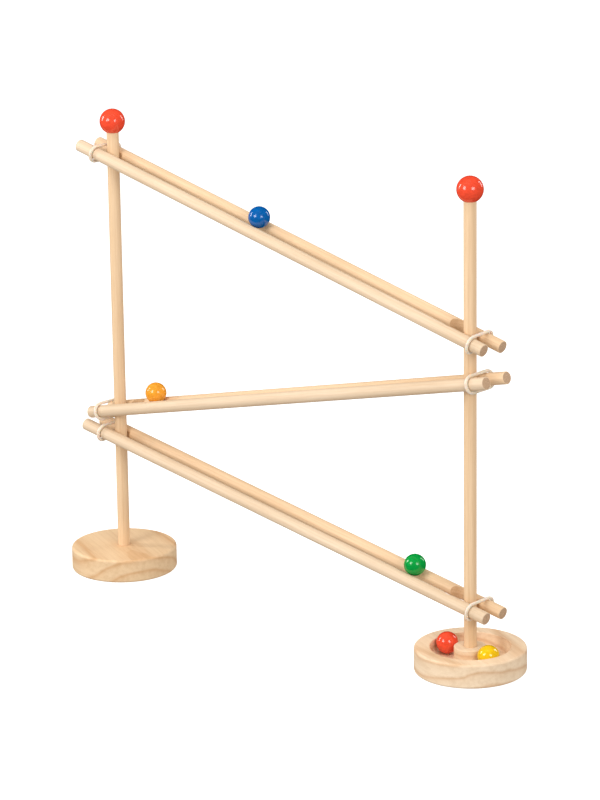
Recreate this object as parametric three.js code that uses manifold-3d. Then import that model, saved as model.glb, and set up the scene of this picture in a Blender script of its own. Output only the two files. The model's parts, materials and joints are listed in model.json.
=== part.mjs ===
// Wooden marble run: two stands, three tracks of paired dowels held by elastic rings, five balls.
// Millimetres, +Z up. The origin is on the floor midway between the posts, and +X runs from the
// plain stand on the left to the tray stand on the right.

import * as THREE from 'three';
import { mergeVertices } from 'three/addons/utils/BufferGeometryUtils.js';
import Module from 'manifold-3d';

// ---- Driving dimensions ---------------------------------------------------------------------

const POST_SPACING = 458;
const POST_RADIUS = 6;
const GLUE_GAP = 0.1; // all round a dowel in its bore
const DOWEL_BEVEL = 0.6; // at the ends of posts and rails

const BASE_RADIUS = 53;
const BASE_HEIGHT = 23.5;
const BASE_EDGE = 2.5; // radius of the softened edges
const BORE_FLOOR = 5; // wood left under a post

const GROOVE_INNER = 15.5; // radius of the boss round the right post
const GROOVE_OUTER = 38;
const GROOVE_FLOOR = 10;
const GROOVE_EDGE = 1; // bevel of the groove's two mouths
const GROOVE_FILLET = 3; // radius where the groove's walls meet its floor

const KNOB_RADIUS = 12.5;
const KNOB_HEIGHT = 461; // centre of either knob

const RAIL_RADIUS = 6;
const RAIL_LENGTH = 532;
const RAIL_SPACING = 22.4; // between the axes of a track's two rails

const BALL_RADIUS = 10.5;
const ROLL_GAP = 0.3; // between a ball and what it lies on

const DROP_RADIUS = 11; // the hole that a ball falls through, shared by both rails
const DROP_INSET = 19; // from the post's axis to the middle of that hole
const SEAT_HALF_WIDTH = 6.3; // the flat seats that the rails hold a post with
const SEAT_HALF_DEPTH = 6.3; // from the track's middle plane to a seat

const RING_TUBE = 1.7; // radius of an elastic ring's section
const RING_GAP = 0.35; // between a ring and the rails

// Facets
const ROUND = 20; // sides of a dowel
const WIDE_ROUND = 40; // sides of a base
const EDGE_STEPS = 3; // in a softened edge
const FILLET_STEPS = 2; // in the groove's fillets
const KNOB_STEPS = 9; // from a knob's bore to its top
const BALL_SIDES = 16;
const BALL_STEPS = 12; // from pole to pole
const RING_SIDES = 8; // of an elastic ring's section

// Each track: the height of its axis at the left and right post, how far its front and back rail
// are pushed along from the middle, how far its left and right ring lie outside the posts' axes,
// the side of its low end, and its ball.
const TRACKS = [
  {
    name: 'top',
    heights: [426, 322.5],
    shifts: [-5, -1.5],
    rings: [11.8, 11],
    lowEnd: 1,
    ball: { name: 'blue_ball', x: -33, color: 0x0b5c9c },
  },
  {
    name: 'middle',
    heights: [167.5, 279.6],
    shifts: [-1, 5],
    rings: [14.7, 12],
    lowEnd: -1,
    ball: { name: 'orange_ball', x: -178, color: 0xf59b35 },
  },
  {
    name: 'bottom',
    heights: [139.7, 64.4],
    shifts: [-4.8, -3.3],
    rings: [13.3, 11],
    lowEnd: 1,
    ball: { name: 'green_ball', x: 161, color: 0x14984b },
  },
];

// The balls in the tray, by their angle round the right post.
const TRAY_BALLS = [
  { name: 'red_ball', degrees: -176, color: 0xe0503a },
  { name: 'yellow_ball', degrees: -11, color: 0xf6c944 },
];

// ---- Materials ------------------------------------------------------------------------------

const finish = (color, roughness) => new THREE.MeshStandardMaterial({ color, roughness, metalness: 0 });
const pineWood = () => finish(0xe4c39a, 0.6);
const beechWood = () => finish(0xe7c8a0, 0.55);
const lacquer = (color) => finish(color, 0.2);
const elastic = () => finish(0xebddcf, 0.4);

// ---- Helpers --------------------------------------------------------------------------------

const wasm = await Module();
wasm.setup();

function toManifold(geometry) {
  const bare = geometry.clone();
  bare.deleteAttribute('normal');
  bare.deleteAttribute('uv');
  const merged = mergeVertices(bare, 1e-4);
  return new wasm.Manifold(new wasm.Mesh({
    numProp: 3,
    vertProperties: new Float32Array(merged.attributes.position.array),
    triVerts: new Uint32Array(merged.index.array),
  }));
}

function fromManifold(solid) {
  const mesh = solid.getMesh();
  const geometry = new THREE.BufferGeometry();
  geometry.setAttribute('position', new THREE.BufferAttribute(new Float32Array(mesh.vertProperties), 3));
  geometry.setIndex(new THREE.BufferAttribute(new Uint32Array(mesh.triVerts), 1));
  return geometry;
}

function named(name, geometry, material) {
  const mesh = new THREE.Mesh(geometry, material);
  mesh.name = name;
  return mesh;
}

// A body of revolution about +Z from [radius, height] points that run upwards.
function turned(profile, sides) {
  const points = profile.map(([radius, height]) => new THREE.Vector2(radius, height));
  return new THREE.LatheGeometry(points, sides).rotateX(Math.PI / 2);
}

// Points of a quarter round or any other arc, in degrees, with both ends.
function arc(centreR, centreZ, radius, from, to, steps) {
  return Array.from({ length: steps + 1 }, (_, i) => {
    const angle = THREE.MathUtils.degToRad(from + (to - from) * i / steps);
    return [centreR + radius * Math.cos(angle), centreZ + radius * Math.sin(angle)];
  });
}

// ---- Stands ---------------------------------------------------------------------------------

const BORE_RADIUS = POST_RADIUS + GLUE_GAP;
const POST_BOTTOM = BORE_FLOOR + GLUE_GAP;

// The outside of a base, from the middle of its underside to the top edge.
function baseOutside() {
  const rim = BASE_RADIUS - BASE_EDGE;
  return [
    [0, 0],
    ...arc(rim, BASE_EDGE, BASE_EDGE, -90, 0, EDGE_STEPS),
    ...arc(rim, BASE_HEIGHT - BASE_EDGE, BASE_EDGE, 0, 90, EDGE_STEPS),
  ];
}

// The blind bore, from its mouth to the middle of its floor.
function baseBore() {
  return [[BORE_RADIUS, BASE_HEIGHT], [BORE_RADIUS, BORE_FLOOR], [0, BORE_FLOOR]];
}

// The ring-shaped groove, from its outer mouth over the floor to the boss.
function groove() {
  const outer = GROOVE_OUTER - GROOVE_FILLET;
  const inner = GROOVE_INNER + GROOVE_FILLET;
  const level = GROOVE_FLOOR + GROOVE_FILLET;
  return [
    [GROOVE_OUTER + GROOVE_EDGE, BASE_HEIGHT],
    [GROOVE_OUTER, BASE_HEIGHT - GROOVE_EDGE],
    ...arc(outer, level, GROOVE_FILLET, 0, -90, FILLET_STEPS),
    ...arc(inner, level, GROOVE_FILLET, -90, -180, FILLET_STEPS),
    [GROOVE_INNER, BASE_HEIGHT - GROOVE_EDGE],
    [GROOVE_INNER - GROOVE_EDGE, BASE_HEIGHT],
  ];
}

const plainBase = () => turned([...baseOutside(), ...baseBore()], WIDE_ROUND);
const trayBase = () => turned([...baseOutside(), ...groove(), ...baseBore()], WIDE_ROUND);

// The dowel's top ends inside the knob, just short of the knob's middle.
function post() {
  const top = KNOB_HEIGHT - GLUE_GAP;
  return turned([
    [0, POST_BOTTOM],
    [POST_RADIUS, POST_BOTTOM],
    [POST_RADIUS, top - DOWEL_BEVEL],
    [POST_RADIUS - DOWEL_BEVEL, top],
    [0, top],
  ], WIDE_ROUND);
}

// A ball with a blind bore from below to its middle.
function knob() {
  const mouth = -THREE.MathUtils.radToDeg(Math.acos(BORE_RADIUS / KNOB_RADIUS));
  const ball = arc(0, KNOB_HEIGHT, KNOB_RADIUS, mouth, 90, KNOB_STEPS);
  ball[ball.length - 1][0] = 0;
  return turned([[0, KNOB_HEIGHT], [BORE_RADIUS, KNOB_HEIGHT], ...ball], ROUND);
}

function stand(side, base, x) {
  const group = new THREE.Group();
  group.position.x = x;
  group.add(base);
  group.add(named(`${side}_post`, post(), beechWood()));
  group.add(named(`${side}_knob`, knob(), lacquer(0xe0503a)));
  return group;
}

// ---- Tracks ---------------------------------------------------------------------------------

// A dowel along X with bevelled ends.
function dowel() {
  const half = RAIL_LENGTH / 2;
  const neck = RAIL_RADIUS - DOWEL_BEVEL;
  return turned([
    [0, -half],
    [neck, -half],
    [RAIL_RADIUS, -half + DOWEL_BEVEL],
    [RAIL_RADIUS, half - DOWEL_BEVEL],
    [neck, half],
    [0, half],
  ], ROUND).rotateY(Math.PI / 2);
}

// The upright cutters of one track in its own frame: a flat seat at each post, and at the low end
// the drop hole with the slot that joins it to the seat.
function cutters(slope, lowEnd) {
  const tall = 5 * RAIL_RADIUS;
  const postX = POST_SPACING / 2;
  const block = (width) => new THREE.BoxGeometry(width, 2 * SEAT_HALF_DEPTH, tall);
  const hole = new THREE.CylinderGeometry(DROP_RADIUS, DROP_RADIUS, tall, ROUND).rotateX(Math.PI / 2);
  const placed = [
    [block(2 * SEAT_HALF_WIDTH), -postX],
    [block(2 * SEAT_HALF_WIDTH), postX],
    [hole, lowEnd * (postX - DROP_INSET)],
    [block(DROP_INSET), lowEnd * (postX - DROP_INSET / 2)],
  ];
  const solids = placed.map(([cutter, x]) => {
    const level = x * Math.tan(slope);
    return toManifold(cutter.translate(x, 0, level).rotateY(slope));
  });
  return solids.reduce((sum, solid) => sum.add(solid));
}

// One rail lies at y, pushed along the track by shift, with the cutters taken out of it.
function rail(y, shift, cut) {
  return fromManifold(toManifold(dowel().translate(shift, y, 0)).subtract(cut));
}

// A loop of round section round both rails: a torus pulled apart into a stadium.
function ring(x) {
  const loop = RAIL_RADIUS + RING_GAP + RING_TUBE;
  const geometry = new THREE.TorusGeometry(loop, RING_TUBE, RING_SIDES, ROUND).rotateZ(Math.PI / ROUND);
  const place = geometry.attributes.position;
  for (let i = 0; i < place.count; i += 1) {
    place.setX(i, place.getX(i) + Math.sign(place.getX(i)) * RAIL_SPACING / 2);
  }
  return geometry.rotateX(Math.PI / 2).rotateZ(Math.PI / 2).translate(x, 0, 0);
}

// A ball's centre stands this far above the plane of the rails' axes.
function ballRise() {
  return Math.sqrt((BALL_RADIUS + RAIL_RADIUS + ROLL_GAP) ** 2 - (RAIL_SPACING / 2) ** 2);
}

const ball = () => new THREE.SphereGeometry(BALL_RADIUS, BALL_SIDES, BALL_STEPS);

function track(spec) {
  const [left, right] = spec.heights;
  const slope = Math.atan2(right - left, POST_SPACING);
  const cut = cutters(slope, spec.lowEnd);
  const group = new THREE.Group();
  group.position.z = (left + right) / 2;
  group.rotation.y = -slope;
  ['front', 'back'].forEach((side, i) => {
    const y = (i - 0.5) * RAIL_SPACING;
    group.add(named(`${spec.name}_${side}_rail`, rail(y, spec.shifts[i], cut), beechWood()));
  });
  const reach = POST_SPACING / 2 / Math.cos(slope);
  const [leftOut, rightOut] = spec.rings;
  group.add(named(`${spec.name}_left_ring`, ring(-reach - leftOut), elastic()));
  group.add(named(`${spec.name}_right_ring`, ring(reach + rightOut), elastic()));
  const rise = ballRise();
  const marble = named(spec.ball.name, ball(), lacquer(spec.ball.color));
  marble.position.set((spec.ball.x + rise * Math.sin(slope)) / Math.cos(slope), 0, rise);
  group.add(marble);
  return group;
}

// ---- The whole run --------------------------------------------------------------------------

const TRAY_BALL_ORBIT = (GROOVE_INNER + GROOVE_OUTER) / 2;

function trayBall({ name, degrees, color }) {
  const angle = THREE.MathUtils.degToRad(degrees);
  const marble = named(name, ball(), lacquer(color));
  marble.position.set(
    POST_SPACING / 2 + TRAY_BALL_ORBIT * Math.cos(angle),
    TRAY_BALL_ORBIT * Math.sin(angle),
    GROOVE_FLOOR + BALL_RADIUS + ROLL_GAP,
  );
  return marble;
}

const marbleRun = new THREE.Group();
marbleRun.add(stand('left', named('left_base', plainBase(), pineWood()), -POST_SPACING / 2));
marbleRun.add(stand('right', named('tray_base', trayBase(), pineWood()), POST_SPACING / 2));
TRACKS.forEach((spec) => marbleRun.add(track(spec)));
TRAY_BALLS.forEach((spec) => marbleRun.add(trayBall(spec)));

export default marbleRun;
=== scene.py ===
import json
import math

import bmesh
import bpy
from mathutils import Euler, Matrix, Vector


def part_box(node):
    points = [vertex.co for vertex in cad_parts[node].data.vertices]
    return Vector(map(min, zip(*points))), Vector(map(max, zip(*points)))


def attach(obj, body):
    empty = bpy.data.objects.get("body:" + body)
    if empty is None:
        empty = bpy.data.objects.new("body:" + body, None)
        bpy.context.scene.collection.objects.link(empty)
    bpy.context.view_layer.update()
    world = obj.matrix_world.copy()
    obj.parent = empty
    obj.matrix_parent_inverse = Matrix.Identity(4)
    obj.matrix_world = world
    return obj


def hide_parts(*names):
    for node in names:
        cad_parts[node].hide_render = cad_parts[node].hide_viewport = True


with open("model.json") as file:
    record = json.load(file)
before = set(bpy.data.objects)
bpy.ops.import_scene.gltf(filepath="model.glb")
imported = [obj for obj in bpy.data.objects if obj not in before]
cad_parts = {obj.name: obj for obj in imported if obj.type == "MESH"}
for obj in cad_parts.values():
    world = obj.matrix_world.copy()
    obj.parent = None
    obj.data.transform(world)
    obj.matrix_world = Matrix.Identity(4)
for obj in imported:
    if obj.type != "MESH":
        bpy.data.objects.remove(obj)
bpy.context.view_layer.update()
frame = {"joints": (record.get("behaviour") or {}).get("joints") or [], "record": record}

# A wooden marble run: two dowel stands on round feet, three tracks of paired dowels held by elastic
# rings, and five lacquered balls. Metres, +Z up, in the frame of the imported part.

MM = 0.001
JOINTS = {joint["name"]: joint for joint in frame["joints"]}
BODY_OF = {node: body for body, nodes in frame["record"]["behaviour"]["bodies"].items() for node in nodes}

FOOT_RADIUS = 53 * MM
FOOT_HEIGHT = 23.5 * MM
FOOT_EDGE = 2.5 * MM
GROOVE_INNER = 15.5 * MM  # radius of the boss
GROOVE_OUTER = 38 * MM
GROOVE_FLOOR = 10 * MM
GROOVE_EDGE = 1 * MM
GROOVE_FILLET = 3 * MM
BORE_RADIUS = 6.1 * MM
BORE_FLOOR = 5 * MM
BORE_EDGE = 0.5 * MM

DOWEL_RADIUS = 6 * MM
DOWEL_BEVEL = 0.6 * MM
RAIL_LENGTH = 532 * MM
RAIL_SPACING = 22.4 * MM  # between the axes of a track's two rails
KNOB_RADIUS = 12.5 * MM
BALL_RADIUS = 10.5 * MM

SEAT_HALF_WIDTH = 6.3 * MM
SEAT_HALF_DEPTH = 6.3 * MM  # from a track's middle plane
CUTTER_HEIGHT = 6 * DOWEL_RADIUS
DROP_RADIUS = 11 * MM
DROP_INSET = 19 * MM  # from a post's axis to the middle of the hole
CUT_EDGE = 0.3 * MM

RING_TUBE = 1.55 * MM
RING_LOOP = 7.9 * MM  # from a rail's axis to the middle of the ring round it

# how finely each round shape is divided
FOOT_SIDES = 144
DOWEL_SIDES = 64
DROP_SIDES = 64
BALL_SIDES = 96
BALL_STEPS = 64
RING_SIDES = 20
RING_STEPS = 28
ROUND_STEPS = 6
FLOOR_SIDES = 96

SAME_PLACE = 0.001 * MM  # points closer than this are merged
END_DEPTH = 0.01 * MM  # a face nearer to a dowel's end than this is its end
CUT_DEPTH = 0.1 * MM  # a face further under a dowel's skin than this was left by a cutter
CUT_ANGLE = math.radians(26)  # an edge sharper than this is a corner of a cut
END_FACE, CUT_FACE = 1, 2  # a rail's material slots, after its turned side in slot 0

METRE_RINGS = math.tau / 20  # the scale at which the rings of a wave texture are a metre apart
PINE_WANDER = 12 * MM  # how far the growth rings stray
DOWEL_RINGS = 3.4 * MM
DOWEL_WANDER = 3 * MM
POST_WARMTH = 0.75

FLOOR_RADIUS = 6

CAMERA_AZIMUTH = math.radians(42.77)
CAMERA_ELEVATION = math.radians(16.50)
CAMERA_ROLL = math.radians(0.81)
CAMERA_DISTANCE = 3.58348
CAMERA_AIM = Vector((0.01658, 0, 0.2225))
LENS = 168.63


# ---- Camera, floor and light ----------------------------------------------------------------


def direction(azimuth, elevation):
    """The way from the middle of the model to something, with azimuth 0 in front of it."""
    flat = math.cos(elevation)
    return Vector((math.sin(azimuth) * flat, -math.cos(azimuth) * flat, math.sin(elevation)))


def camera():
    back = direction(CAMERA_AZIMUTH, CAMERA_ELEVATION)
    right = Vector((0, 0, 1)).cross(back).normalized()
    up = back.cross(right)
    lean = Matrix.Rotation(-CAMERA_ROLL, 3, back)
    right, up = lean @ right, lean @ up
    made = bpy.data.objects.new("camera", bpy.data.cameras.new("camera"))
    made.data.lens = LENS
    made.data.clip_end = 100
    turn = Matrix((right, up, back)).transposed()
    made.matrix_world = Matrix.Translation(CAMERA_AIM + back * CAMERA_DISTANCE) @ turn.to_4x4()
    bpy.context.scene.collection.objects.link(made)
    bpy.context.scene.camera = made


def softbox(name, azimuth, elevation, distance, size, watts, mirrored=True):
    """A rectangular light that looks at the middle of the model. Gloss shows it only if mirrored."""
    lamp = bpy.data.lights.new(name, "AREA")
    lamp.shape = "RECTANGLE"
    lamp.size, lamp.size_y = size
    lamp.energy = watts
    made = bpy.data.objects.new(name, lamp)
    away = direction(math.radians(azimuth), math.radians(elevation))
    turn = away.to_track_quat("Z", "Y").to_matrix().to_4x4()
    made.matrix_world = Matrix.Translation(CAMERA_AIM + away * distance) @ turn
    made.visible_glossy = mirrored
    bpy.context.scene.collection.objects.link(made)


def studio_light():
    """Two soft keys, two tall strips at the sides, a broad light overhead, and white all round."""
    softbox("left key", -6, 25, 2.4, (0.9, 0.9), 22)
    softbox("right key", 69, 22, 2.4, (0.8, 0.8), 15)
    softbox("left strip", -64, 20, 2.2, (0.24, 1.0), 13)
    softbox("right strip", 162, 22, 2.2, (0.24, 1.0), 8)
    softbox("overhead", 20, 76, 2.3, (1.8, 1.8), 18, mirrored=False)
    world = bpy.data.worlds.new("studio")
    bpy.context.scene.world = world
    world.use_nodes = True
    tree = world.node_tree
    tree.nodes.clear()
    seen = put(tree, "ShaderNodeBackground", {}, {"Color": (1, 1, 1, 1), "Strength": 1.05})
    around = put(tree, "ShaderNodeBackground", {}, {"Color": (1, 0.985, 0.965, 1), "Strength": 0.6})
    path = put(tree, "ShaderNodeLightPath")
    both = put(tree, "ShaderNodeMixShader", {}, {0: path.outputs["Is Camera Ray"]})
    tree.links.new(around.outputs[0], both.inputs[1])
    tree.links.new(seen.outputs[0], both.inputs[2])
    put(tree, "ShaderNodeOutputWorld", {}, {"Surface": both.outputs[0]})
    world.cycles_visibility.glossy = False


def floor():
    """A white floor that lends the pieces no light and no reflection."""
    bm = bmesh.new()
    bmesh.ops.create_circle(bm, cap_ends=True, segments=FLOOR_SIDES, radius=FLOOR_RADIUS)
    made = put_together("floor", bm, [white_paper()])
    made.visible_glossy = False
    made.visible_diffuse = False


# ---- Material helpers -----------------------------------------------------------------------


def put(tree, kind, settings=None, inputs=None):
    """Adds a node. An input is a number or colour, or another node's output to link."""
    made = tree.nodes.new(kind)
    for key, value in (settings or {}).items():
        setattr(made, key, value)
    for key, value in (inputs or {}).items():
        if isinstance(value, bpy.types.NodeSocket):
            tree.links.new(value, made.inputs[key])
        else:
            made.inputs[key].default_value = value
    return made


def new_finish(name):
    finish = bpy.data.materials.new(name)
    finish.use_nodes = True
    tree = finish.node_tree
    tree.nodes.clear()
    shader = put(tree, "ShaderNodeBsdfPrincipled")
    put(tree, "ShaderNodeOutputMaterial", {}, {"Surface": shader.outputs[0]})
    return finish, tree, shader


def colour_steps(tree, value, steps):
    """A colour ramp of (position, linear colour) steps."""
    ramp = put(tree, "ShaderNodeValToRGB", {}, {"Fac": value})
    stops = ramp.color_ramp.elements
    while len(stops) < len(steps):
        stops.new(0.5)
    for stop, (position, colour) in zip(stops, steps):
        stop.position = position
        stop.color = (*colour, 1)
    return ramp.outputs["Color"]


def spread(tree, value, low, high, start=0.0, end=1.0):
    """Turns start to end into low to high."""
    inputs = {"Value": value, "From Min": start, "From Max": end, "To Min": low, "To Max": high}
    return put(tree, "ShaderNodeMapRange", {}, inputs).outputs["Result"]


def over(tree, mode, share, base, layer):
    """Mixes a layer over a base colour. Each is a colour or another node's output."""
    mix = put(tree, "ShaderNodeMix", {"data_type": "RGBA", "blend_type": mode, "clamp_factor": True})
    factor, first, second = 0, 6, 7  # this node's sockets for colours
    for key, value in ((factor, share), (first, base), (second, layer)):
        if isinstance(value, bpy.types.NodeSocket):
            tree.links.new(value, mix.inputs[key])
        else:
            mix.inputs[key].default_value = value
    return mix.outputs[2]


def shade(colour, share):
    """The colour, darker for a share under 1 and lighter for one over it."""
    return tuple(part * share for part in colour)


# ---- Finishes -------------------------------------------------------------------------------


def white_paper():
    finish, tree, shader = new_finish("white paper")
    place = put(tree, "ShaderNodeTexCoord").outputs["Object"]
    tooth = put(tree, "ShaderNodeTexNoise", {}, {"Vector": place, "Scale": 900, "Detail": 2})
    tint = colour_steps(tree, tooth.outputs["Fac"], [
        (0.3, (0.50, 0.50, 0.50)), (0.7, (0.54, 0.54, 0.54)),
    ])
    tree.links.new(tint, shader.inputs["Base Color"])
    shader.inputs["Roughness"].default_value = 0.9
    shader.inputs["Specular IOR Level"].default_value = 0.1
    shader.inputs["Emission Color"].default_value = (1, 1, 1, 1)
    shader.inputs["Emission Strength"].default_value = 0.86
    return finish


def wood(name, pale, dark, ring_width, centre, pith, turn, wander, line_share, fibre_share, roughness):
    """Solid wood. The grain runs along the mapped X axis, with growth rings about the pith.

    pale and dark are the early and late wood, and ring_width is the distance between two dark lines.
    pith is where the piece's centre lies from the pith, across the grain, and turn is how the grain
    is turned, in degrees. wander is how far the rings stray, and the shares say how strongly the
    dark lines and the fibres show.
    """
    finish, tree, shader = new_finish(name)
    place = put(tree, "ShaderNodeTexCoord").outputs["Object"]
    turn = Euler([math.radians(angle) for angle in turn])
    grain = put(tree, "ShaderNodeMapping", {}, {
        "Vector": place,
        "Location": Vector(pith) - turn.to_matrix() @ centre,
        "Rotation": turn,
    }).outputs["Vector"]

    # the rings wander slowly along the trunk and a little faster across it
    slow = put(tree, "ShaderNodeMapping", {}, {"Vector": grain, "Scale": (0.25, 1, 1)}).outputs["Vector"]
    sway = put(tree, "ShaderNodeTexNoise", {}, {
        "Vector": slow, "Scale": 28, "Detail": 2, "Roughness": 0.45,
    })
    centred = put(tree, "ShaderNodeVectorMath", {"operation": "SUBTRACT"},
                  {0: sway.outputs["Color"], 1: (0.5, 0.5, 0.5)})
    swayed = put(tree, "ShaderNodeVectorMath", {"operation": "MULTIPLY_ADD"},
                 {0: centred.outputs[0], 1: (wander, wander, wander), 2: grain})
    rings = put(tree, "ShaderNodeTexWave",
                {"wave_type": "RINGS", "rings_direction": "X", "wave_profile": "SAW"},
                {"Vector": swayed.outputs[0], "Scale": METRE_RINGS / ring_width, "Distortion": 0.35,
                 "Detail": 2, "Detail Scale": 1.5, "Detail Roughness": 0.5})
    late = colour_steps(tree, rings.outputs["Fac"], [
        (0.0, (0.6, 0.6, 0.6)), (0.16, (0, 0, 0)), (0.45, (0.05, 0.05, 0.05)),
        (0.76, (0.32, 0.32, 0.32)), (0.92, (1, 1, 1)), (1.0, (0.85, 0.85, 0.85)),
    ])
    tone = over(tree, "MIX", spread(tree, late, 0, line_share), (*pale, 1), (*dark, 1))

    # broad lengthwise bands, then fine fibres and short pores
    banded = put(tree, "ShaderNodeMapping", {}, {"Vector": grain, "Scale": (0.03, 1, 1)}).outputs["Vector"]
    bands = put(tree, "ShaderNodeTexNoise", {}, {"Vector": banded, "Scale": 260, "Detail": 2})
    tone = over(tree, "MULTIPLY", 1.0, tone, colour_steps(tree, bands.outputs["Fac"], [
        (0.32, (0.94, 0.91, 0.87)), (0.62, (1.02, 1.02, 1.02)),
    ]))
    fine = put(tree, "ShaderNodeMapping", {}, {"Vector": grain, "Scale": (0.02, 1, 1)}).outputs["Vector"]
    fibres = put(tree, "ShaderNodeTexNoise", {}, {
        "Vector": fine, "Scale": 1900, "Detail": 3, "Roughness": 0.6,
    })
    tone = over(tree, "MULTIPLY", fibre_share, tone, colour_steps(tree, fibres.outputs["Fac"], [
        (0.34, (0.78, 0.70, 0.60)), (0.55, (1.0, 1.0, 1.0)), (0.75, (1.06, 1.05, 1.04)),
    ]))
    drift = put(tree, "ShaderNodeTexNoise", {}, {"Vector": grain, "Scale": 9, "Detail": 1})
    tone = over(tree, "MULTIPLY", 1.0, tone, colour_steps(tree, drift.outputs["Fac"], [
        (0.3, (0.95, 0.93, 0.90)), (0.7, (1.03, 1.03, 1.03)),
    ]))
    tree.links.new(tone, shader.inputs["Base Color"])

    rough = spread(tree, fibres.outputs["Fac"], roughness + 0.08, roughness - 0.06, 0.3, 0.7)
    tree.links.new(rough, shader.inputs["Roughness"])
    shader.inputs["Specular IOR Level"].default_value = 0.35
    relief = put(tree, "ShaderNodeMath", {"operation": "MULTIPLY_ADD"},
                 {0: late, 1: 0.05, 2: fibres.outputs["Fac"]})
    bump = put(tree, "ShaderNodeBump", {}, {
        "Height": relief.outputs[0], "Strength": 0.2, "Distance": 0.03 * MM,
    })
    tree.links.new(bump.outputs[0], shader.inputs["Normal"])
    return finish


def foot_pine(name, warmth, ring_width, centre, pith, turn):
    """Flat-sawn pine with wide growth rings, from pale at warmth 0 to honey at 1."""
    pale = Vector((0.925, 0.755, 0.570)).lerp(Vector((0.835, 0.590, 0.350)), warmth)
    dark = Vector((0.700, 0.430, 0.230)).lerp(Vector((0.640, 0.340, 0.140)), warmth)
    return wood(name, pale, dark, ring_width, centre, pith, turn, PINE_WANDER, 0.62, 0.25, 0.55)


def dowel_wood(name, warmth, centre, pith, turn):
    """Dowel wood from pale cream at warmth 0 to a warmer straw at 1."""
    pale = Vector((0.765, 0.612, 0.452)).lerp(Vector((0.880, 0.620, 0.375)), warmth)
    dark = Vector((0.690, 0.490, 0.310)).lerp(Vector((0.680, 0.430, 0.220)), warmth)
    return wood(name, pale, dark, DOWEL_RINGS, centre, pith, turn, DOWEL_WANDER, 0.3, 0.3, 0.5)


def end_grain():
    """The sawn end of a dowel, darker than its side, with pores and fine saw marks."""
    finish, tree, shader = new_finish("end grain")
    place = put(tree, "ShaderNodeTexCoord").outputs["Object"]
    pores = put(tree, "ShaderNodeTexNoise", {}, {
        "Vector": place, "Scale": 2400, "Detail": 3, "Roughness": 0.7,
    })
    marks = put(tree, "ShaderNodeTexNoise", {}, {
        "Vector": put(tree, "ShaderNodeMapping", {}, {"Vector": place, "Scale": (1, 1, 6)}).outputs[0],
        "Scale": 320, "Detail": 1,
    })
    tone = colour_steps(tree, pores.outputs["Fac"], [
        (0.35, (0.420, 0.250, 0.140)), (0.52, (0.600, 0.390, 0.240)), (0.72, (0.700, 0.500, 0.330)),
    ])
    tone = over(tree, "MULTIPLY", 0.6, tone, colour_steps(tree, marks.outputs["Fac"], [
        (0.35, (0.8, 0.78, 0.75)), (0.65, (1.05, 1.05, 1.05)),
    ]))
    tree.links.new(tone, shader.inputs["Base Color"])
    tree.links.new(spread(tree, pores.outputs["Fac"], 0.85, 0.6), shader.inputs["Roughness"])
    bump = put(tree, "ShaderNodeBump", {}, {
        "Height": pores.outputs["Fac"], "Strength": 0.6, "Distance": 0.08 * MM,
    })
    tree.links.new(bump.outputs[0], shader.inputs["Normal"])
    return finish


def cut_wood_and_shade():
    """The faces that a cutter left in a rail: a little browner and rougher than the turned side, partly as
    wood cut across the grain and partly as painted shade in the recesses.
    """
    # the browner, darker tones are partly painted shade where the seats and drop holes are recessed
    pale, dark = (0.720, 0.490, 0.290), (0.580, 0.360, 0.185)
    return wood("cut wood and painted shade", pale, dark, DOWEL_RINGS, Vector((0, 0, 0)), (0, 0.02, 0.013), (0, 0, 0),
                DOWEL_WANDER, 0.4, 0.6, 0.7)


def lacquer(name, colour, turn):
    """Glossy coloured lacquer on a wooden ball, whose grain still shows faintly through it."""
    finish, tree, shader = new_finish(name)
    place = put(tree, "ShaderNodeTexCoord").outputs["Object"]
    grain = put(tree, "ShaderNodeMapping", {}, {
        "Vector": place, "Scale": (0.12, 1, 1),
        "Rotation": tuple(math.radians(angle) for angle in turn),
    }).outputs["Vector"]
    fibres = put(tree, "ShaderNodeTexNoise", {}, {
        "Vector": grain, "Scale": 620, "Detail": 3, "Roughness": 0.6,
    })
    cloud = put(tree, "ShaderNodeTexNoise", {}, {"Vector": place, "Scale": 130, "Detail": 1})
    tone = colour_steps(tree, fibres.outputs["Fac"], [
        (0.3, shade(colour, 0.84)), (0.5, colour), (0.7, shade(colour, 1.1)),
    ])
    tone = over(tree, "MULTIPLY", 0.5, tone, colour_steps(tree, cloud.outputs["Fac"], [
        (0.35, (0.86, 0.86, 0.86)), (0.65, (1.08, 1.08, 1.08)),
    ]))
    tree.links.new(tone, shader.inputs["Base Color"])
    tree.links.new(spread(tree, cloud.outputs["Fac"], 0.3, 0.42), shader.inputs["Roughness"])
    shader.inputs["Specular IOR Level"].default_value = 0.0
    shader.inputs["Coat Weight"].default_value = 1.0
    shader.inputs["Coat IOR"].default_value = 1.6
    shader.inputs["Coat Roughness"].default_value = 0.16
    # the wood's fibres and a slight orange peel, under a smooth clear coat
    peel = put(tree, "ShaderNodeTexNoise", {}, {"Vector": place, "Scale": 700, "Detail": 1})
    uneven = put(tree, "ShaderNodeMath", {"operation": "MULTIPLY_ADD"},
                 {0: fibres.outputs["Fac"], 1: 0.4, 2: peel.outputs["Fac"]})
    bump = put(tree, "ShaderNodeBump", {}, {
        "Height": uneven.outputs[0], "Strength": 0.25, "Distance": 0.04 * MM,
    })
    tree.links.new(bump.outputs[0], shader.inputs["Normal"])
    return finish


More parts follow.
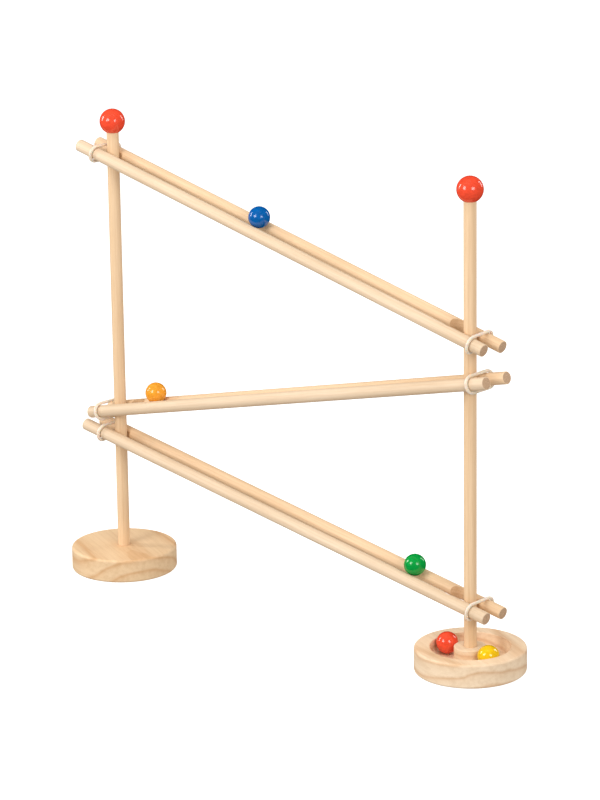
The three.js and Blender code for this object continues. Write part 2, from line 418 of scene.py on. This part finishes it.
def elastic():
    """Clear-white rubber with a slightly clouded body and a dull skin."""
    finish, tree, shader = new_finish("elastic")
    place = put(tree, "ShaderNodeTexCoord").outputs["Object"]
    cloud = put(tree, "ShaderNodeTexNoise", {}, {"Vector": place, "Scale": 420, "Detail": 3})
    tone = colour_steps(tree, cloud.outputs["Fac"], [
        (0.35, (0.89, 0.75, 0.60)), (0.65, (0.93, 0.83, 0.70)),
    ])
    tree.links.new(tone, shader.inputs["Base Color"])
    tree.links.new(spread(tree, cloud.outputs["Fac"], 0.28, 0.45), shader.inputs["Roughness"])
    shader.inputs["Transmission Weight"].default_value = 0.15
    shader.inputs["Subsurface Weight"].default_value = 0.7
    shader.inputs["Subsurface Radius"].default_value = (1.0, 0.8, 0.6)
    shader.inputs["Subsurface Scale"].default_value = 1.5 * MM
    bump = put(tree, "ShaderNodeBump", {}, {
        "Height": cloud.outputs["Fac"], "Strength": 0.15, "Distance": 0.04 * MM,
    })
    tree.links.new(bump.outputs[0], shader.inputs["Normal"])
    return finish


# ---- Shape helpers --------------------------------------------------------------------------


def put_together(name, bm, finishes, sharp=32):
    """Turns a bmesh into an object, with shading that breaks only at edges over sharp degrees."""
    mesh = bpy.data.meshes.new(name)
    bm.to_mesh(mesh)
    bm.free()
    for finish in finishes:
        mesh.materials.append(finish)
    mesh.shade_smooth()
    mesh.set_sharp_from_angle(angle=math.radians(sharp))
    made = bpy.data.objects.new(name, mesh)
    bpy.context.scene.collection.objects.link(made)
    return made


def even_shading(piece):
    """Keeps the flats flat between rounded edges."""
    even = piece.modifiers.new("even shading", "WEIGHTED_NORMAL")
    even.keep_sharp = True


def stands_for(piece, node):
    """Moves the piece with its node's body and lets it take the node's place."""
    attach(piece, BODY_OF[node])
    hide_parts(node)


def middle(node):
    low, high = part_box(node)
    return (low + high) / 2


def turned(corners, rounds, sides):
    """Spins a closed solid about Z from [radius, height] corners, after rounding some of them.

    rounds gives a corner's number and the size of its round.
    """
    bm = bmesh.new()
    points = [bm.verts.new((radius, 0, height)) for radius, height in corners]
    for pair in zip(points, points[1:]):
        bm.edges.new(pair)
    for number, size in rounds.items():
        bmesh.ops.bevel(bm, geom=[points[number]], offset=size, offset_type="OFFSET",
                        segments=ROUND_STEPS, profile=0.5, affect="VERTICES", material=-1)
    bmesh.ops.spin(bm, geom=bm.verts[:] + bm.edges[:], cent=(0, 0, 0), axis=(0, 0, 1),
                   angle=math.tau, steps=sides, use_merge=True)
    close_up(bm)
    return bm


def close_up(bm):
    """Merges what coincides, as at a pole or a seam, and turns every face outward."""
    bmesh.ops.remove_doubles(bm, verts=bm.verts, dist=SAME_PLACE)
    bmesh.ops.recalc_face_normals(bm, faces=bm.faces)


# ---- Stands ---------------------------------------------------------------------------------


def foot(node, corners, rounds, finish):
    bm = turned(corners, rounds, FOOT_SIDES)
    centre = middle(node)
    bmesh.ops.translate(bm, verts=bm.verts, vec=(centre.x, centre.y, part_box(node)[0].z))
    made = put_together(f"{node}_turned", bm, [finish])
    even_shading(made)
    stands_for(made, node)


def plain_foot():
    corners = [
        (0, 0), (FOOT_RADIUS, 0), (FOOT_RADIUS, FOOT_HEIGHT),
        (BORE_RADIUS, FOOT_HEIGHT), (BORE_RADIUS, BORE_FLOOR), (0, BORE_FLOOR),
    ]
    rounds = {1: FOOT_EDGE, 2: FOOT_EDGE, 3: BORE_EDGE}
    finish = foot_pine("left foot pine", 0.9, 13.5 * MM, middle("left_base"),
                       (0, 0, 55.8 * MM), (0, 2, 24))
    foot("left_base", corners, rounds, finish)


def tray_foot():
    corners = [
        (0, 0), (FOOT_RADIUS, 0), (FOOT_RADIUS, FOOT_HEIGHT),
        (GROOVE_OUTER, FOOT_HEIGHT), (GROOVE_OUTER, GROOVE_FLOOR),
        (GROOVE_INNER, GROOVE_FLOOR), (GROOVE_INNER, FOOT_HEIGHT),
        (BORE_RADIUS, FOOT_HEIGHT), (BORE_RADIUS, BORE_FLOOR), (0, BORE_FLOOR),
    ]
    rounds = {
        1: FOOT_EDGE, 2: FOOT_EDGE, 3: GROOVE_EDGE, 4: GROOVE_FILLET,
        5: GROOVE_FILLET, 6: GROOVE_EDGE, 7: BORE_EDGE,
    }
    finish = foot_pine("tray pine", 0.3, 12.5 * MM, middle("tray_base"),
                       (300 * MM, 0, 93.5 * MM), (0, -2, 24))
    foot("tray_base", corners, rounds, finish)


def post(side, finish):
    node = f"{side}_post"
    low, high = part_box(node)
    corners = [(0, low.z), (DOWEL_RADIUS, low.z), (DOWEL_RADIUS, high.z), (0, high.z)]
    bm = turned(corners, {2: DOWEL_BEVEL}, DOWEL_SIDES)
    centre = middle(node)
    bmesh.ops.translate(bm, verts=bm.verts, vec=(centre.x, centre.y, 0))
    made = put_together(f"{side}_post_dowel", bm, [finish])
    even_shading(made)
    stands_for(made, node)


def knob(side, turn):
    """A ball with a blind bore that the post is glued into."""
    node = f"{side}_knob"
    centre = middle(node)
    centre.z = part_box(node)[1].z - KNOB_RADIUS
    mouth = math.sqrt(KNOB_RADIUS ** 2 - BORE_RADIUS ** 2)
    bm = bmesh.new()
    bmesh.ops.create_uvsphere(bm, u_segments=BALL_SIDES, v_segments=BALL_STEPS, radius=KNOB_RADIUS)
    everything = bm.verts[:] + bm.edges[:] + bm.faces[:]
    bmesh.ops.bisect_plane(bm, geom=everything, plane_co=(0, 0, -mouth), plane_no=(0, 0, -1),
                           clear_outer=True)
    rim = [edge for edge in bm.edges if edge.is_boundary]
    wall = bmesh.ops.extrude_edge_only(bm, edges=rim)["geom"]
    top = [part for part in wall if isinstance(part, bmesh.types.BMVert)]
    bmesh.ops.translate(bm, verts=top, vec=(0, 0, mouth))
    bmesh.ops.holes_fill(bm, edges=[edge for edge in bm.edges if edge.is_boundary])
    close_up(bm)
    bmesh.ops.translate(bm, verts=bm.verts, vec=centre)
    made = put_together(f"{side}_knob_ball", bm, [lacquer(f"{side} knob lacquer", RED, turn)])
    stands_for(made, node)


# ---- Tracks ---------------------------------------------------------------------------------


def cutter(name, bm, centre):
    """A solid to cut with, at a place along a track. cut_out removes it."""
    bmesh.ops.translate(bm, verts=bm.verts, vec=centre)
    close_up(bm)
    return put_together(name, bm, [])


def block(name, low_x, high_x, centre_z):
    bm = bmesh.new()
    bmesh.ops.create_cube(bm, size=1)
    bmesh.ops.scale(bm, verts=bm.verts, vec=(high_x - low_x, 2 * SEAT_HALF_DEPTH, CUTTER_HEIGHT))
    return cutter(name, bm, ((low_x + high_x) / 2, 0, centre_z))


def drop_hole(x, z):
    bm = bmesh.new()
    bmesh.ops.create_cone(bm, cap_ends=True, segments=DROP_SIDES, radius1=DROP_RADIUS,
                          radius2=DROP_RADIUS, depth=CUTTER_HEIGHT)
    return cutter("drop hole", bm, (x, 0, z))


def rail_cutters(track):
    """A flat seat at each post, and at the low end the hole that a ball falls through."""
    along = Vector(JOINTS[f"{track}_ring_slide"]["axis"])
    point = Vector(JOINTS[f"{track}_tilt"]["pos_m"])
    low_end = -math.copysign(1, along.z)
    cutters = []
    for side in (-1, 1):
        x = middle("left_post").x if side < 0 else middle("right_post").x
        z = point.z + (x - point.x) * along.z / along.x
        reach = DROP_INSET if side == low_end else SEAT_HALF_WIDTH
        inner, outer = x - side * reach, x + side * SEAT_HALF_WIDTH
        cutters.append(block("seat", min(inner, outer), max(inner, outer), z))
        if side == low_end:
            hole_x = x - side * DROP_INSET
            cutters.append(drop_hole(hole_x, z - side * DROP_INSET * along.z / along.x))
    return cutters


def cut_out(piece, cutters):
    """Takes the cutters out of the piece's own mesh and removes them."""
    for solid in cutters:
        saw = piece.modifiers.new(solid.name, "BOOLEAN")
        saw.operation, saw.solver, saw.object = "DIFFERENCE", "EXACT", solid
    whole = piece.data
    graph = bpy.context.evaluated_depsgraph_get()
    piece.data = bpy.data.meshes.new_from_object(piece.evaluated_get(graph))
    piece.modifiers.clear()
    bpy.data.meshes.remove(whole)
    for solid in cutters:
        bpy.data.objects.remove(solid)


def soften_cuts(bm, along, centre):
    """Marks the faces that the cutters left, and breaks their outer edges as sandpaper does."""
    for face in bm.faces:
        reach = face.calc_center_median() - centre
        sideways = reach - along * reach.dot(along)
        inside = sideways.length < DOWEL_RADIUS - CUT_DEPTH
        if inside and abs(reach.dot(along)) < RAIL_LENGTH / 2 - 2 * DOWEL_BEVEL:
            face.material_index = CUT_FACE
    edges = [
        edge for edge in bm.edges
        if edge.is_manifold and edge.is_convex and edge.calc_face_angle() > CUT_ANGLE
        and any(face.material_index == CUT_FACE for face in edge.link_faces)
    ]
    bmesh.ops.bevel(bm, geom=edges, offset=CUT_EDGE, offset_type="OFFSET", segments=2, profile=0.5,
                    affect="EDGES", material=-1, clamp_overlap=True)


def rail(track, side, finishes):
    """A dowel, cut to seat the posts and let the balls drop. finishes are side, end, and cut faces with
    painted shade.
    """
    node = f"{track}_{side}_rail"
    along = Vector(JOINTS[f"{track}_ring_slide"]["axis"])
    centre = middle(node)
    half = RAIL_LENGTH / 2
    corners = [(0, -half), (DOWEL_RADIUS, -half), (DOWEL_RADIUS, half), (0, half)]
    bm = turned(corners, {1: DOWEL_BEVEL, 2: DOWEL_BEVEL}, DOWEL_SIDES)
    for face in bm.faces:
        if abs(face.calc_center_median().z) > half - END_DEPTH:
            face.material_index = END_FACE
    lay = along.to_track_quat("Z", "Y").to_matrix().to_4x4()
    bmesh.ops.transform(bm, matrix=Matrix.Translation(centre) @ lay, verts=bm.verts)
    made = put_together(f"{node}_dowel", bm, finishes)
    cut_out(made, rail_cutters(track))
    bm = bmesh.new()
    bm.from_mesh(made.data)
    soften_cuts(bm, along, centre)
    close_up(bm)
    bm.to_mesh(made.data)
    bm.free()
    made.data.set_sharp_from_angle(angle=CUT_ANGLE)
    stands_for(made, node)


def ring(track, side, lean):
    """An elastic loop round both rails: a half turn round each, and two straight strands between.

    lean is how far the back of the loop has slipped along the track past its front.
    """
    node = f"{track}_{side}_ring"
    along = Vector(JOINTS[f"{track}_ring_slide"]["axis"])
    bm = bmesh.new()
    for way in (-1, 1):
        y = way * RAIL_SPACING / 2
        section = bmesh.ops.create_circle(bm, segments=RING_SIDES, radius=RING_TUBE)["verts"]
        bmesh.ops.rotate(bm, verts=section, cent=(0, 0, 0), matrix=Matrix.Rotation(math.pi / 2, 3, "X"))
        bmesh.ops.translate(bm, verts=section, vec=(0, y, RING_LOOP))
        edges = list({edge for vert in section for edge in vert.link_edges})
        bmesh.ops.spin(bm, geom=section + edges, cent=(0, y, 0), axis=(1, 0, 0),
                       angle=-way * math.pi, steps=RING_STEPS)
    for level in (-1, 1):
        ends = [
            edge for edge in bm.edges
            if edge.is_boundary and all(vert.co.z * level > 0 for vert in edge.verts)
        ]
        bmesh.ops.bridge_loops(bm, edges=ends)
    close_up(bm)
    slip = Matrix.Identity(4)
    slip[0][1] = lean / RAIL_SPACING
    lay = Matrix.Rotation(-math.atan2(along.z, along.x), 4, "Y")
    bmesh.ops.transform(bm, matrix=Matrix.Translation(middle(node)) @ lay @ slip, verts=bm.verts)
    made = put_together(f"{node}_loop", bm, [ELASTIC], sharp=60)
    stands_for(made, node)


def ball(node, colour, turn):
    """A lacquered ball. turn is how the grain under the lacquer is turned, in degrees."""
    bm = bmesh.new()
    bmesh.ops.create_uvsphere(bm, u_segments=BALL_SIDES, v_segments=BALL_STEPS, radius=BALL_RADIUS)
    close_up(bm)
    bmesh.ops.translate(bm, verts=bm.verts, vec=middle(node))
    made = put_together(f"{node}_lacquered", bm, [lacquer(f"{node} lacquer", colour, turn)])
    stands_for(made, node)


# ---- The whole run --------------------------------------------------------------------------

RED = (0.860, 0.074, 0.030)
BLUE = (0.0005, 0.108, 0.385)
ORANGE = (0.900, 0.360, 0.030)
GREEN = (0.001, 0.330, 0.050)
YELLOW = (0.880, 0.540, 0.004)

camera()
floor()
studio_light()
bpy.context.scene.view_settings.view_transform = "Standard"

ELASTIC = elastic()
plain_foot()
tray_foot()
for side, pith in (("left", (0, 4 * MM, 14 * MM)), ("right", (0, 9 * MM, 12 * MM))):
    grain = dowel_wood(f"{side} post wood", POST_WARMTH, middle(f"{side}_post"), pith, (0, 90, 0))
    post(side, grain)
knob("left", (20, 35, 0))
knob("right", (70, 15, 40))

# how far the back of each left and right ring has slipped to the right past its front
LEANS = {"top": (1.6 * MM, -1.4 * MM), "middle": (2.6 * MM, 0.5 * MM), "bottom": (0.3 * MM, 0)}
END_GRAIN = end_grain()
# the finish of the cut faces, darkened with painted shade in the recessed seats and drop holes
CUT_WOOD_AND_SHADE = cut_wood_and_shade()
for number, name in enumerate(("top", "middle", "bottom")):
    slope = Vector(JOINTS[f"{name}_ring_slide"]["axis"])
    tilt = math.degrees(math.atan2(slope.z, slope.x))
    for side, warmth in (("front", 0.15), ("back", 0.7)):
        pith = (number, 12 * MM, (16 + 3 * number) * MM)
        grain = dowel_wood(f"{name} {side} rail wood", warmth, middle(f"{name}_{side}_rail"), pith,
                           (0, tilt, 0))
        rail(name, side, [grain, END_GRAIN, CUT_WOOD_AND_SHADE])
    ring(name, "left", LEANS[name][0])
    ring(name, "right", LEANS[name][1])

ball("blue_ball", BLUE, (15, 40, 0))
ball("orange_ball", ORANGE, (60, 10, 30))
ball("green_ball", GREEN, (0, 70, 20))
ball("red_ball", RED, (45, 20, 70))
ball("yellow_ball", YELLOW, (10, 80, 45))
